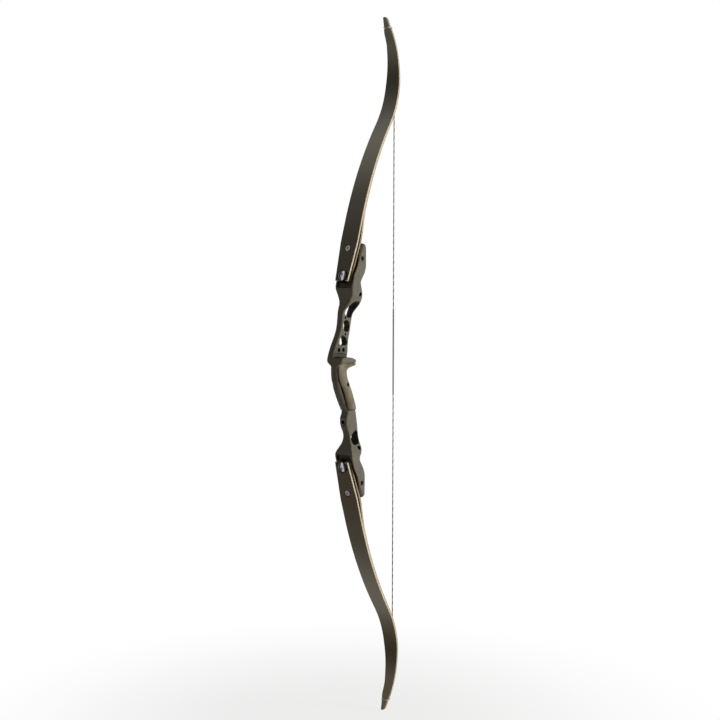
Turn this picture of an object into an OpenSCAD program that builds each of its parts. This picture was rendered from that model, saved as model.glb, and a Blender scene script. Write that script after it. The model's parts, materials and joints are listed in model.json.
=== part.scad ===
// Takedown recurve bow: machined riser, two laminated limbs in pockets, wooden grip and twisted string.
// Frame: origin at the throat of the grip, +Z towards the upper tip, -Y towards the target, string at +Y.
// The archer's left, where the sight window is open, is +X.

/* [Riser] */
// Half the length of the riser, pivot point to pocket end
riser_half = 259; // [250:1:290]
// Width of the riser at the limb pockets
riser_w = 45; // [44:0.5:50]
// Depth of the upper pocket end, string side face from the pivot point
riser_back = 44.5; // [42:0.5:48]
// Depth of the lower pocket end
lower_back = 42; // [40:0.5:46]
// Width of the column below the grip
column_w = 19; // [18:0.5:24]
// Front face of the riser at the grip, in front of the pivot point
nose = 33.4; // [32:0.1:38]
// Outer side face of the sight window wall
wall_out = 20.2; // [19:0.1:22]
// How far the sight window is cut past the centre line
past_centre = 5.5; // [4:0.25:6.5]
// Height of the arrow shelf above the pivot point
shelf_z = 30; // [28:0.5:34]
// Radius of the front to back crown of the arrow shelf
shelf_crown = 90; // [70:1:140]
// Half width of the tang inside the grip
tang_hw = 6.5; // [5:0.25:7.5]

/* [Tapped holes] */
// Diameter of the 5/16 inch accessory threads
accessory_d = 7.94; // [7:0.01:8.5]
// Diameter of the two sight mounting threads
sight_d = 4.83; // [4:0.01:5.5]
// Distance between the two sight mounting threads
sight_pitch = 33.34; // [31:0.01:35]
// Height of the middle of the two sight mounting threads
sight_z = 92.2; // [91:0.1:94]
// Height of the two plunger threads
plunger_z = 43.5; // [42:0.1:45]
// Distance between the two plunger threads
plunger_pitch = 14.2; // [12:0.1:16]
// Height of the stabilizer bushing below the pivot point
stabilizer_z = 103; // [101:0.5:105]
// Depth of thread in the stabilizer bushing
stabilizer_len = 22; // [16:0.5:26]
// Diameter of the stabilizer bushing
bushing_d = 13; // [12:0.1:14]

/* [Limbs] */
// Tilt of the limb pockets
butt_tilt = 17.6; // [16:0.1:19]
// Straight length from the butt end to where the limb starts to bend
butt_len = 132.6; // [125:0.1:140]
// Bend radius of the working part of the limb
working_r = 776; // [700:1:850]
// Steepest angle of the limb
sweep = 34.2; // [32:0.1:36]
// Bend radius of the recurve
recurve_r = 198.4; // [190:0.1:210]
// Forward angle of the tip
tip_tilt = 21.8; // [19:0.1:24]
// Straight length of the tip
tip_len = 36.3; // [34:0.1:40]
// Thickness of the butt
butt_t = 13.8; // [13:0.1:14.6]
// Thickness of the back glass
back_glass_t = 1; // [0.7:0.05:1.2]
// Thickness of the belly glass
belly_glass_t = 0.9; // [0.7:0.05:1.2]
// Thickness of the front core at the butt
front_core_t = 3.9; // [3.2:0.1:4.2]
// Thickness of the rear core at the butt
rear_core_t = 3.5; // [2.8:0.1:3.8]
// Taper of each core, thickness lost per metre
core_taper = 5.3; // [4.5:0.1:5.5]
// Length of the wedge before it starts to fade
wedge_len = 80; // [76:1:90]
// Length over which the wedge fades out
fade_len = 75; // [60:1:90]
// Width of the limb at the butt end
butt_end_w = 31; // [30:0.5:33]
// Widest part of the limb
limb_w = 42; // [40:0.5:43]
// Width where the recurve starts
recurve_w = 34; // [31:0.5:36]
// Width just below the nock grooves
nock_w = 15; // [14:0.5:20]
// Width at the end of the tip
tip_w = 7.6; // [7:0.1:13.5]
// Thickness of the tip overlay
overlay_t = 3.4; // [2.4:0.1:4]
// Length of the tip overlay
overlay_len = 55; // [48:0.5:60]
// Depth of the string groove in the belly
groove_depth = 0.8; // [0.5:0.05:0.85]
// Width of the string groove in the belly
groove_w = 3.6; // [3.2:0.1:4.5]
// Radius of the nock grooves
nock_r = 2; // [1.6:0.1:2.3]

/* [Limb bolts] */
// Distance of the bolt from the butt end
bolt_s = 10.5; // [10:0.1:11.5]
// Diameter of the bolt thread
bolt_d = 8; // [7:0.1:9]
// Diameter of the domed head
head_d = 21; // [19:0.1:22]
// Height of the domed head
head_h = 7; // [5.5:0.1:8]
// Length of the bolt under its head
bolt_len = 24.9; // [23:0.1:25.2]
// Diameter of the washer
washer_d = 22.4; // [22:0.1:24]
// Thickness of the washer
washer_t = 1.5; // [1.2:0.1:1.8]
// Depth of the dish cut in the limb for the washer
dish_depth = 4.5; // [4:0.1:5]
// Diameter of the dish
dish_d = 27; // [26:0.1:28]
// Width of the fork slot
fork_w = 10.5; // [10:0.1:12]
// Diameter of the threaded barrel in the riser
barrel_d = 12; // [11:0.1:14]
// Length of the barrel
barrel_len = 13; // [11:0.1:13.1]

/* [Limb fitting] */
// Distance from the bolt to the detent
detent_pitch = 58; // [57:0.1:59]
// Distance from the bolt to the line that the limb rocks on
rocker_pitch = 66.5; // [65:0.1:68]
// Length of the dovetail
dovetail_len = 14; // [11:0.5:15]
// Width of the dovetail at the limb
dovetail_w = 14; // [13:0.1:14.5]
// Width of the dovetail at its foot
dovetail_foot_w = 17.6; // [17:0.1:18.5]
// Height of the dovetail
dovetail_h = 5; // [4.5:0.1:5.2]
// Diameter of the fitting screw head
fitting_head_d = 11.2; // [10.5:0.1:11.8]
// Diameter of the detent pin tip
pin_d = 4.6; // [4.2:0.1:5]
// Diameter of the detent pin shoulder
shoulder_d = 6; // [5.6:0.1:6.4]
// Wire diameter of the detent spring
spring_wire = 0.45; // [0.35:0.01:0.5]
// Diameter of the alignment dowels
dowel_d = 9.4; // [8:0.1:10]

/* [Grip] */
// Widest part of the wooden grip
grip_w = 26.6; // [26:0.1:30]
// Diameter of the grip screw heads
grip_head_d = 7.8; // [7:0.1:8.4]
// Diameter of the grip screw threads
grip_screw_d = 5; // [4:0.1:5.4]

/* [String] */
// Diameter of the string
string_d = 2.4; // [2:0.1:2.6]
// Diameter over the centre serving
serving_d = 3.1; // [3:0.1:3.4]
// Diameter over the loop servings
loop_d = 2.6; // [2.4:0.1:2.8]
// Top end of the centre serving
serving_top = 124; // [110:1:140]
// Bottom end of the centre serving
serving_bottom = 56; // [45:1:70]

/* [Hidden] */
$fn = 64;

riser_hw = riser_w / 2;
column_hw = column_w / 2;
// Where the back face of the limb starts, at the butt end
butt_y = -10.4;
butt_z = riser_half - 75;
// Clearances between pieces
face_gap = 0.3;
seat_gap = 0.1;
thread_gap = 0.05;
press_gap = 0.02;
slot_gap = 0.5;
// Free depth under the butt, so that the bolt can be turned both ways
pocket_gap = 2;
pocket_end_gap = 11;
cheek_gap = 1.3;
joint_cut = 0.01;

// Outlines with rounded corners: each point is [a, b, corner radius]
function unit(v) = v / norm(v);
function xy(p) = [p[0], p[1]];
function corner(a, b, c, r) =
    let (u = unit(a - b), v = unit(c - b), half = acos(max(-1, min(1, u * v))) / 2)
    (r < 0.05 || half > 88.5) ? [b] :
    let (t = min(r / tan(half), 0.46 * norm(a - b), 0.46 * norm(c - b)),
         rr = t * tan(half),
         centre = b + unit(u + v) * rr / sin(half),
         from = b + u * t - centre,
         turn = 180 - 2 * half,
         side = cross(from, b - centre) > 0 ? 1 : -1,
         steps = max(2, ceil(turn / 9)))
    [for (i = [0:steps]) let (w = side * turn * i / steps)
        centre + [from[0] * cos(w) - from[1] * sin(w), from[0] * sin(w) + from[1] * cos(w)]];
function rounded(p) = let (n = len(p))
    [for (i = [0:n - 1]) each corner(xy(p[(i + n - 1) % n]), xy(p[i]), xy(p[(i + 1) % n]), p[i][2])];

// Solids from an outline in the side view (Y, Z), spread along X, or in the front view (X, Z), along Y
module across(x0, x1) translate([x0, 0, 0]) rotate([90, 0, 90]) linear_extrude(x1 - x0) children();
module side_plate(points, x0, x1) across(x0, x1) polygon(points);
module front_plate(points, y0, y1)
    translate([0, y1, 0]) rotate([90, 0, 0]) linear_extrude(y1 - y0) polygon(points);
module both_sides() { children(); mirror([1, 0, 0]) children(); }

// Back face of the limb: straight butt, slow bend, tight recurve, straight tip
bend_len = working_r * (sweep - butt_tilt) * PI / 180;
recurve_len = recurve_r * (sweep + tip_tilt) * PI / 180;
s_bend = butt_len;
s_recurve = s_bend + bend_len;
s_tip = s_recurve + recurve_len;
s_end = s_tip + tip_len;
p_bend = [butt_y + butt_len * sin(butt_tilt), butt_z + butt_len * cos(butt_tilt)];
p_recurve = p_bend + working_r * [cos(butt_tilt) - cos(sweep), sin(sweep) - sin(butt_tilt)];
p_tip = p_recurve + recurve_r * [cos(tip_tilt) - cos(sweep), sin(sweep) + sin(tip_tilt)];
p_end = p_tip + tip_len * [-sin(tip_tilt), cos(tip_tilt)];
function limb_angle(s) =
    s < s_bend ? butt_tilt :
    s < s_recurve ? butt_tilt + (s - s_bend) / working_r * 180 / PI :
    s < s_tip ? sweep - (s - s_recurve) / recurve_r * 180 / PI : -tip_tilt;
function limb_back(s) = let (a = limb_angle(s))
    s < s_bend ? [butt_y, butt_z] + s * [sin(butt_tilt), cos(butt_tilt)] :
    s < s_recurve ? p_bend + working_r * [cos(butt_tilt) - cos(a), sin(a) - sin(butt_tilt)] :
    s < s_tip ? p_recurve + recurve_r * [cos(a) - cos(sweep), sin(sweep) - sin(a)] :
    p_tip + (s - s_tip) * [-sin(tip_tilt), cos(tip_tilt)];
// The point that lies t behind the back face
function limb_at(s, t) = let (a = limb_angle(s)) limb_back(s) + t * [cos(a), -sin(a)];

// Thickness of the laminations along the limb
core_end_s = 500;
function core_t(t0, s) = t0 - core_taper * min(s, core_end_s) / 1000;
function front_t(s) = core_t(front_core_t, s);
function rear_t(s) = core_t(rear_core_t, s);
function fade(s) = s < wedge_len ? 1 : s > wedge_len + fade_len ? 0 :
    (1 + cos(180 * (s - wedge_len) / fade_len)) / 2;
function wedge_t(s) = fade(s) * (butt_t - back_glass_t - belly_glass_t - front_t(s) - rear_t(s));
function depth1(s) = back_glass_t;
function depth2(s) = depth1(s) + front_t(s);
function depth3(s) = depth2(s) + wedge_t(s);
function depth4(s) = depth3(s) + rear_t(s);
function depth5(s) = depth4(s) + belly_glass_t;

fade_end = wedge_len + fade_len;
fade_steps = 10;
bend_steps = 9;
recurve_steps = 24;
fade_stations = [for (i = [0:fade_steps]) wedge_len + fade_len * i / fade_steps];
bend_stations = [for (i = [1:bend_steps]) fade_end + (s_recurve - fade_end) * i / bend_steps];
recurve_stations = [for (i = [1:recurve_steps]) s_recurve + recurve_len * i / recurve_steps];
overlay_s = s_end - overlay_len;
// The overlay bends at the same places as the limb under it
shared_stations = [for (s = recurve_stations) if (s > overlay_s + 0.5) s];
limb_stations = concat([0], fade_stations, bend_stations,
    [for (s = recurve_stations) if (s < overlay_s - 0.5) s], [overlay_s], shared_stations, [s_end + 1]);
wedge_stations = concat([0], fade_stations);
overlay_stations = concat([overlay_s], shared_stations,
    [for (i = [1:6]) s_tip + (tip_len + 1) * i / 6]);
groove_s = s_recurve + recurve_len * 0.5;
groove_end_s = s_end - 33;
groove_stations = [for (i = [0:8]) groove_s + (groove_end_s - groove_s) * i / 8];

// Outline of the limb seen from the target
butt_corner = 6;
shoulder_z = butt_z + 78;
recurve_z = butt_z + 411;
nock_z = p_end[1] - 20;
nock_x = nock_w / 2 - 0.9;
nock_s = s_end - 20 / cos(tip_tilt);
nock_lean = 20;
below_nock_z = nock_z - 3.4;
above_nock_z = nock_z + 4;
taper_steps = 10;
tip_r = tip_w / 2;
tip_centre_z = p_end[1] - tip_r;
half_outline = concat(
    [for (a = [-90:15:0]) [butt_end_w / 2 - butt_corner + butt_corner * cos(a),
        butt_z - butt_t * sin(butt_tilt) - joint_cut + butt_corner * (1 + sin(a))]],
    [for (i = [0:taper_steps]) let (u = i / taper_steps)
        [limb_w / 2 - (limb_w - recurve_w) / 2 * pow(u, 1.4), shoulder_z + (recurve_z - shoulder_z) * u]],
    [[nock_w / 2 + 5.2, nock_z - 50], [nock_w / 2 + 1.6, nock_z - 11], [nock_w / 2, below_nock_z],
        [tip_r + 1.9, above_nock_z]],
    [for (a = [0:10:80]) [tip_r * cos(a), tip_centre_z + tip_r * sin(a)]]);
limb_outline = concat(half_outline, [[0, p_end[1]]],
    [for (i = [len(half_outline) - 1:-1:0]) [-half_outline[i][0], half_outline[i][1]]]);

// Places along the limb are measured from its butt end, depths from its back face
detent_s = bolt_s + detent_pitch;
rocker_s = bolt_s + rocker_pitch;
seat_n = dish_depth - face_gap;
head_n = seat_n - washer_t - seat_gap;
bolt_end_n = head_n + bolt_len;
screw_dish_n = 2;
screw_dish_r = 8;
screw_seat_n = 3.8;
screw_head_h = 3.2;
screw_r = 3;
boss_n = 6.6;
boss_r = 5.5;
screw_end_n = 9.4;
pin_gap = (shoulder_d + 0.1) / 2;
foot_n = butt_t + dovetail_h;
lip_n = foot_n - 1;
shoulder_n = lip_n - seat_gap - 3.2;
channel_n = foot_n + 0.7;
channel_s = detent_s - 8.5;
floor_n = butt_t + pocket_gap;
pad_n = butt_t + face_gap;
pad_half = 4;
pin_travel = 2.4;
pin_end_n = foot_n + pin_travel;
dimple_r = pin_d / 2 + slot_gap;
dimple_n = pin_end_n + 1.3;
barrel_end_n = floor_n + barrel_len;
lock_screw_n = bolt_end_n + 2.4;
lock_screw_len = 4.6;
dowel_s = 54.6;
dowel_n = 25.4;
spring_turns = 5;
spring_r = shoulder_d / 2 - spring_wire - 0.2;
spring_n0 = screw_end_n + 0.1 + spring_wire / 2;
spring_n1 = shoulder_n - 0.1 - spring_wire / 2;

// Axes of a pocket: X across, Y deeper into the riser, Z along the limb
function in_pocket(s, n) = [butt_y + s * sin(butt_tilt) + n * cos(butt_tilt),
    butt_z + s * cos(butt_tilt) - n * sin(butt_tilt)];
function s_at_z(z, n) = (z - butt_z + n * sin(butt_tilt)) / cos(butt_tilt);
module pocket_axes() translate([0, butt_y, butt_z]) rotate([-butt_tilt, 0, 0]) children();
// A cylinder square to the limb, from depth n0 to n1
module deep(s, n0, n1, r) translate([0, n0, s]) rotate([-90, 0, 0]) cylinder(h = n1 - n0, r = r);
// A hexagon socket of the same direction
module socket(s, n0, n1, across)
    translate([0, n0, s]) rotate([-90, 0, 0]) cylinder(h = n1 - n0, r = across / sqrt(3), $fn = 6);

module limb_cuts() pocket_axes() {
    deep(bolt_s, -5, dish_depth, dish_d / 2);
    deep(bolt_s, -5, butt_t + 5, fork_w / 2);
    translate([-fork_w / 2, -5, -12]) cube([fork_w, butt_t + 10, bolt_s + 12]);
    deep(detent_s, -5, screw_dish_n, screw_dish_r);
    deep(detent_s, -5, screw_seat_n, fitting_head_d / 2 + 0.2);
    deep(detent_s, 0, butt_t, screw_r + 0.2);
    deep(detent_s, boss_n - seat_gap, butt_t + 5, boss_r + press_gap);
}

// Grooves at the sides of the nock: they rise from the belly to the back, as the string does
module nock_cuts() both_sides()
    translate([nock_x, limb_back(nock_s)[0], nock_z])
        rotate([-90 + tip_tilt - nock_lean, 0, 0]) translate([0, 0, -20]) cylinder(h = 40, r = nock_r + 0.3);

// One lamination between two depths, over a list of places along the limb
module lamination(places, front, rear)
    difference() {
        intersection() {
            side_plate(concat([for (i = [0:len(places) - 1]) limb_at(places[i], front[i])],
                [for (i = [len(places) - 1:-1:0]) limb_at(places[i], rear[i])]), -30, 30);
            front_plate(limb_outline, -60, 240);
        }
        limb_cuts();
        nock_cuts();
    }
module back_glass() lamination(limb_stations,
    [for (s = limb_stations) 0], [for (s = limb_stations) depth1(s)]);
module front_core() lamination(limb_stations,
    [for (s = limb_stations) depth1(s)], [for (s = limb_stations) depth2(s)]);
module butt_wedge() lamination(wedge_stations,
    [for (s = wedge_stations) depth2(s)], [for (s = wedge_stations) depth3(s)]);
module rear_core() lamination(limb_stations,
    [for (s = limb_stations) depth3(s)], [for (s = limb_stations) depth4(s)]);
module belly_glass() difference() {
    lamination(limb_stations, [for (s = limb_stations) depth4(s)], [for (s = limb_stations) depth5(s)]);
    side_plate(concat([for (s = groove_stations) limb_at(s, depth5(s) - groove_depth)],
        [for (i = [8:-1:0]) limb_at(groove_stations[i], depth5(groove_stations[i]) + 3)]),
        -groove_w / 2, groove_w / 2);
}
function overlay_h(s) = let (u = min(1, (s - overlay_s) / 26))
    0.5 + (overlay_t - 0.5) * u * u * (3 - 2 * u);
module tip_overlay() lamination(overlay_stations,
    [for (s = overlay_stations) -overlay_h(s)], [for (s = overlay_stations) 0]);

function dovetail_hw(n) =
    (dovetail_w + (dovetail_foot_w - dovetail_w) * (n - butt_t) / dovetail_h) / 2;
module dovetail_fitting() pocket_axes() difference() {
    union() {
        translate([0, 0, detent_s - dovetail_len / 2]) linear_extrude(dovetail_len)
            polygon([[-dovetail_hw(butt_t), butt_t], [dovetail_hw(butt_t), butt_t],
                [dovetail_hw(foot_n), foot_n], [-dovetail_hw(foot_n), foot_n]]);
        deep(detent_s, boss_n, butt_t + 1, boss_r);
    }
    deep(detent_s, 5, lip_n, pin_gap);
    deep(detent_s, lip_n - 1, foot_n + 1, pin_d / 2 + thread_gap);
}
module fitting_screw() pocket_axes() difference() {
    union() {
        deep(detent_s, screw_seat_n - seat_gap - screw_head_h, screw_seat_n - seat_gap, fitting_head_d / 2);
        deep(detent_s, screw_seat_n - 1, screw_end_n, screw_r);
    }
    socket(detent_s, 0, screw_seat_n - 1.2, 5);
}
module detent_pin() pocket_axes() {
    deep(detent_s, shoulder_n, lip_n - seat_gap, shoulder_d / 2);
    translate([0, 0, detent_s]) rotate([-90, 0, 0]) rotate_extrude() polygon([[0, shoulder_n + 1],
        [pin_d / 2, shoulder_n + 1], [pin_d / 2, pin_end_n - 1.2], [pin_d / 2 - 0.4, pin_end_n - 0.4],
        [pin_d / 2 - 1.2, pin_end_n], [0, pin_end_n]]);
}

// A tube swept along points, with its rings square to the route
function ring_of(points, i, r, sides) =
    let (n = len(points), t = unit(points[min(i + 1, n - 1)] - points[max(i - 1, 0)]),
         ref = abs(t[0]) > 0.8 ? [0, 0, 1] : [1, 0, 0],
         u = unit(cross(t, ref)), v = cross(t, u))
    [for (k = [0:sides - 1]) points[i] + r * (cos(360 * k / sides) * u + sin(360 * k / sides) * v)];
module tube(points, r, sides) {
    n = len(points);
    verts = [for (i = [0:n - 1]) each ring_of(points, i, r, sides)];
    walls = [for (i = [0:n - 2]) for (k = [0:sides - 1]) let (a = i * sides + k,
        b = i * sides + (k + 1) % sides) each [[a, b, b + sides], [a, b + sides, a + sides]]];
    caps = [for (k = [1:sides - 2]) each [[0, k + 1, k],
        [(n - 1) * sides, (n - 1) * sides + k, (n - 1) * sides + k + 1]]];
    polyhedron(points = verts, faces = [for (f = concat(walls, caps)) [f[0], f[2], f[1]]], convexity = 10);
}
spring_points = [for (i = [0:spring_turns * 8]) let (a = i * 45)
    [spring_r * cos(a), spring_n0 + (spring_n1 - spring_n0) * i / (spring_turns * 8),
        detent_s + spring_r * sin(a)]];
module detent_spring() pocket_axes() tube(spring_points, spring_wire / 2, 6);

module limb_bolt() pocket_axes() difference() {
    union() {
        translate([0, 0, bolt_s]) rotate([-90, 0, 0]) rotate_extrude() polygon(concat([[0, head_n],
            [head_d / 2, head_n], [head_d / 2, head_n - 1.6]],
            [for (a = [10:10:80]) [head_d / 2 * cos(a), head_n - 1.6 - (head_h - 1.6) * sin(a)]],
            [[0, head_n - head_h]]));
        deep(bolt_s, head_n - 1, bolt_end_n, bolt_d / 2);
    }
    socket(bolt_s, head_n - head_h - 1, head_n - head_h + 3.6, 8);
}
module bolt_washer() pocket_axes() difference() {
    deep(bolt_s, seat_n - washer_t, seat_n, washer_d / 2);
    deep(bolt_s, seat_n - washer_t - 1, seat_n + 1, bolt_d / 2 + 0.3);
}
module bolt_barrel() pocket_axes() difference() {
    deep(bolt_s, floor_n + 0.2, barrel_end_n, barrel_d / 2);
    deep(bolt_s, floor_n - 1, barrel_end_n + 1, bolt_d / 2 + thread_gap);
}
module lock_screw() pocket_axes() difference() {
    deep(bolt_s, lock_screw_n, lock_screw_n + lock_screw_len, bolt_d / 2);
    socket(bolt_s, lock_screw_n + 2, lock_screw_n + lock_screw_len + 1, 4);
}
dowel_at = in_pocket(dowel_s, dowel_n);
dowel_half = riser_hw - 5.5;
module crosswise(y, z, x0, x1, r) translate([x0, y, z]) rotate([0, 90, 0]) cylinder(h = x1 - x0, r = r);
module alignment_dowel() crosswise(dowel_at[0], dowel_at[1], -dowel_half, dowel_half, dowel_d / 2);
module alignment_screws() both_sides() difference() {
    crosswise(dowel_at[0], dowel_at[1], dowel_half + seat_gap, riser_hw - 1, dowel_d / 2);
    translate([riser_hw - 3.4, dowel_at[0], dowel_at[1]]) rotate([0, 90, 0])
        cylinder(h = 5, r = 4 / sqrt(3), $fn = 6);
}

// The loop of the string: from the groove to a side groove of the nock, over the back and home again
string_y = limb_at(s_recurve + recurve_r * sweep * PI / 180, depth5(core_end_s) + 0.7)[0];
string_off = 0.7;
junction_s = s_recurve + recurve_r * (sweep + 18.4) * PI / 180;
loop_r = loop_d / 2;
loop_x = nock_x - nock_r - 0.3 + loop_r + face_gap;
loop_n = depth5(core_end_s) + loop_r + face_gap;
loop_top_n = -overlay_t - loop_r - face_gap;
half_loop = [[loop_r + 0.15, junction_s + 0.4, loop_n], [loop_r + 1.6, junction_s + 10, loop_n],
    [loop_x - 1.4, nock_s - 8, loop_n], [loop_x + 0.6, nock_s - 2.6, loop_n - 0.2],
    [loop_x + 0.2, nock_s - 0.6, 1.4], [loop_x, nock_s + 0.9, loop_top_n + 2.6],
    [loop_x - 0.4, nock_s + 1.7, loop_top_n + 0.3], [loop_x - 2.3, nock_s + 1.9, loop_top_n - 0.1]];
loop_path = concat(half_loop, [[0, nock_s + 1.9, loop_top_n - 0.1]],
    [for (i = [len(half_loop) - 1:-1:0]) [-half_loop[i][0], half_loop[i][1], half_loop[i][2]]]);
function limb_place(p) = let (q = limb_at(p[1], p[2])) [p[0], q[0], q[1]];
function blend_of(a, b, c, d, t) = 0.5 * (2 * b + (c - a) * t + (2 * a - 5 * b + 4 * c - d) * t * t
    + (3 * b - a - 3 * c + d) * t * t * t);
function smooth(p, k) = let (n = len(p))
    concat([for (i = [0:n - 2]) for (j = [0:k - 1])
        blend_of(p[max(i - 1, 0)], p[i], p[i + 1], p[min(i + 2, n - 1)], j / k)], [p[n - 1]]);
module string_loop() tube([for (p = smooth(loop_path, 2)) limb_place(p)], loop_r, 8);

string_turns = 9;
string_top = concat([for (z = [0:100:500]) [0, string_y, z]],
    [for (i = [0:string_turns]) let (s = s_recurve + recurve_r * sweep * PI / 180,
        q = limb_at(s + (junction_s - s) * i / string_turns, depth5(core_end_s) + string_off))
        [0, q[0], q[1]]]);
string_points = concat([for (i = [len(string_top) - 1:-1:1])
    [0, string_top[i][1], -string_top[i][2]]], string_top);
module bowstring() color("#8d8578") tube(string_points, string_d / 2, 8);
module centre_serving() color("#22211f") difference() {
    translate([0, string_y, -serving_bottom]) cylinder(h = serving_top + serving_bottom, r = serving_d / 2);
    translate([0, string_y, -serving_bottom - 1])
        cylinder(h = serving_top + serving_bottom + 2, r = string_d / 2 + thread_gap);
}

// Outlines are drawn for a butt at drawn_butt_z. Between hold_z and the butt they stretch with the riser.
drawn_butt_z = 184;
hold_z = 113;
function stretch(z) = let (h = abs(z))
    h < hold_z ? z : sign(z) * (h > drawn_butt_z ? h + butt_z - drawn_butt_z :
        hold_z + (h - hold_z) * (butt_z - hold_z) / (drawn_butt_z - hold_z));
function fitted(line) = [for (p = line) [p[0], stretch(p[1])]];
function fitted_corners(line) = [for (p = line) [p[0], stretch(p[1]), p[2]]];
function flip(line) = [for (i = [len(line) - 1:-1:0]) [line[i][0], -line[i][1]]];

// Front edge of the riser as [Y, Z], the pocket ends included
top_s = s_at_z(riser_half, pad_n);
pocket_front = [[2.2, butt_z + 1.5], in_pocket(13, 10.8), in_pocket(25, 13.1), in_pocket(36, floor_n),
    in_pocket(top_s + 3, floor_n)];
pocket_end_z = butt_z - 12;
boss_y = -3.6;
boss_half = 9.5;
front_upper = smooth([[-3.8, -76], [-14.8, -59], [-24.4, -42], [-30.6, -25], [0.4 - nose, -9], [-nose, 2],
    [0.8 - nose, 20], [-30.4, shelf_z + 2], [-23.5, 48], [-14.6, 64], [-6, 80], [-1.5, 96], [1.6, 122],
    [3.9, 136], [2.1, 149], [-1, 163], [-1.9, 172]], 2);
front_lower = concat(smooth([[-2.6, -172], [-1, -162], [5, -148], [6.8, -136], [5.6, -127], [1.4, -118],
    [boss_y, -boss_half - stabilizer_z]], 2),
    smooth([[boss_y, boss_half - stabilizer_z], [0.3, -85], [0, -80]], 2));
front_edge = concat(flip(pocket_front), fitted(front_lower), fitted(front_upper), pocket_front);

// Rear edge of the riser as [Y, Z], straight where the wood covers it
end_corner = 9;
function rear_end(y) = [for (a = [0:22.5:90])
    [y - end_corner * (1 - sin(a)), riser_half - end_corner * (1 - cos(a))]];
tail_tip = 20;
rear_edge = concat(flip(rear_end(lower_back)), fitted(smooth([[lower_back, -214], [lower_back - 1.5, -207],
    [37.3, -199], [31.5, -190], [26.3, -183], [25.2, -178], [27.2, -171], [32.5, -164], [37.4, -156],
    [37.6, -147], [37.2, -138], [36, -126], [32.8, -106], [29.6, -92], [27, -78]], 2)),
    [[tail_tip, 17], [tail_tip, 22.8]], fitted(smooth([[16, 26.6], [16, 33], [18.3, 42], [21.8, 65],
    [26.2, 81], [29.8, 97], [33.8, 112], [38, 122], [42.9, 136], [38.4, 150], [33.6, 158.5], [30.6, 167],
    [27.2, 180], [30.2, 186], [35.2, 193], [40.2, 200], [riser_back - 1.4, 207], [riser_back, 214]], 2)),
    [for (i = [4:-1:0]) rear_end(riser_back)[i]]);

// Side edges of the riser as [X, Z]: pocket ends, column, flare under the shelf, sight window
grip_hw = 9.4;
shelf_hw = 20.3;
pocket_side = [[16.8, 155.5], [20.5, 162], [riser_hw, 168], [riser_hw, riser_half]];
column_side = concat(flip(fitted(pocket_side)), fitted([[11.6, -145], [column_hw - 0.6, -135]]),
    [[column_hw - 1, -122], [column_hw - 0.4, -100], [column_hw, -84], [grip_hw, -76]]);
flare = [[grip_hw, 3], [grip_hw + 0.6, 9], [11.4, 12], [13.6, 14.5], [17, 17], [19.6, 20], [shelf_hw, 24]];
right_edge = concat(column_side, flare, [[shelf_hw, shelf_z + 1], [-past_centre, 43]],
    fitted([[-past_centre, 113], [-4.9, 118], [-1.6, 124.5], [15.6, 147], [20, 155], [riser_hw, 164]]),
    [[riser_hw, riser_half]]);
left_edge = concat(column_side, flare, [[shelf_hw, shelf_z + 1], [wall_out, 40]],
    fitted([[wall_out, 113], [wall_out, 124], [18.3, 133], [17.6, 143], [19.2, 153], [riser_hw, 166]]),
    [[riser_hw, riser_half]]);

// Radius of the upright edges, as [Z, radius]
front_round = [[-172, 1], [-160, 2], [-115, 2.4], [boss_half - stabilizer_z + 4, 2], [-70, 7.6], [8, 7.6], [22, 3.2],
    [158, 3.2], [172, 1]];
rear_round = [[-90, 3], [12, 9.6], [26, 9.6], [30, 2.6], [120, 2.6], [170, 3]];

function by_height(line) = [for (p = line) [p[1], p[0]]];
front_at = by_height(front_edge);
rear_at = by_height(rear_edge);
left_at = by_height(left_edge);
right_at = by_height(right_edge);
function arc(x, y, r, a, n) = [for (k = [0:n]) [x + r * cos(a + 90 * k / n), y + r * sin(a + 90 * k / n)]];
function slice(z) =
    let (front = lookup(z, front_at), rear = lookup(z, rear_at),
         left = -lookup(z, left_at), right = lookup(z, right_at),
         limit = 0.48 * min(rear - front, right - left),
         rf = min(limit, lookup(z, front_round)), rr = min(limit, lookup(z, rear_round)))
    [for (p = concat(arc(right - rf, front + rf, rf, -90, 3), arc(right - rr, rear - rr, rr, 0, 3),
        arc(left + rr, rear - rr, rr, 90, 3), arc(left + rf, front + rf, rf, 180, 3))) [p[0], p[1], z]];

// Heights of the slices: those of the outlines, sorted, none closer than a step
function sorted(v) = len(v) < 2 ? v : let (m = v[floor(len(v) / 2)])
    concat(sorted([for (x = v) if (x < m) x]), [m], sorted([for (x = v) if (x > m) x]));
function step_at(z) = z > 4 && z < 32 ? 1.4 : 4.6;
all_heights = sorted([for (p = concat(front_edge, rear_edge, right_edge))
    if (abs(p[1]) < riser_half - 1) p[1]]);
heights = concat([-riser_half], [for (i = 0, last = -riser_half; i < len(all_heights);
    last = all_heights[i] - last < step_at(all_heights[i]) ? last : all_heights[i], i = i + 1)
    if (all_heights[i] - last >= step_at(all_heights[i])) all_heights[i]], [riser_half]);

// A solid through level rings, from the bottom up, each ring anticlockwise from above
module loft(rings) {
    m = len(rings[0]);
    last = (len(rings) - 1) * m;
    walls = [for (i = [0:len(rings) - 2]) for (k = [0:m - 1]) let (a = i * m + k, b = i * m + (k + 1) % m)
        each [[a, a + m, b + m], [a, b + m, b]]];
    strips = [for (k = [0:ceil(m / 2) - 2]) let (a = k + 1, b = m - 2 - k)
        each concat(a < b ? [[k, a, b]] : [], [[k, b, m - 1 - k]])];
    caps = concat(strips, [for (f = strips) [last + f[0], last + f[2], last + f[1]]]);
    polyhedron(points = [for (r = rings) each r], faces = concat(walls, caps), convexity = 8);
}

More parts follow.
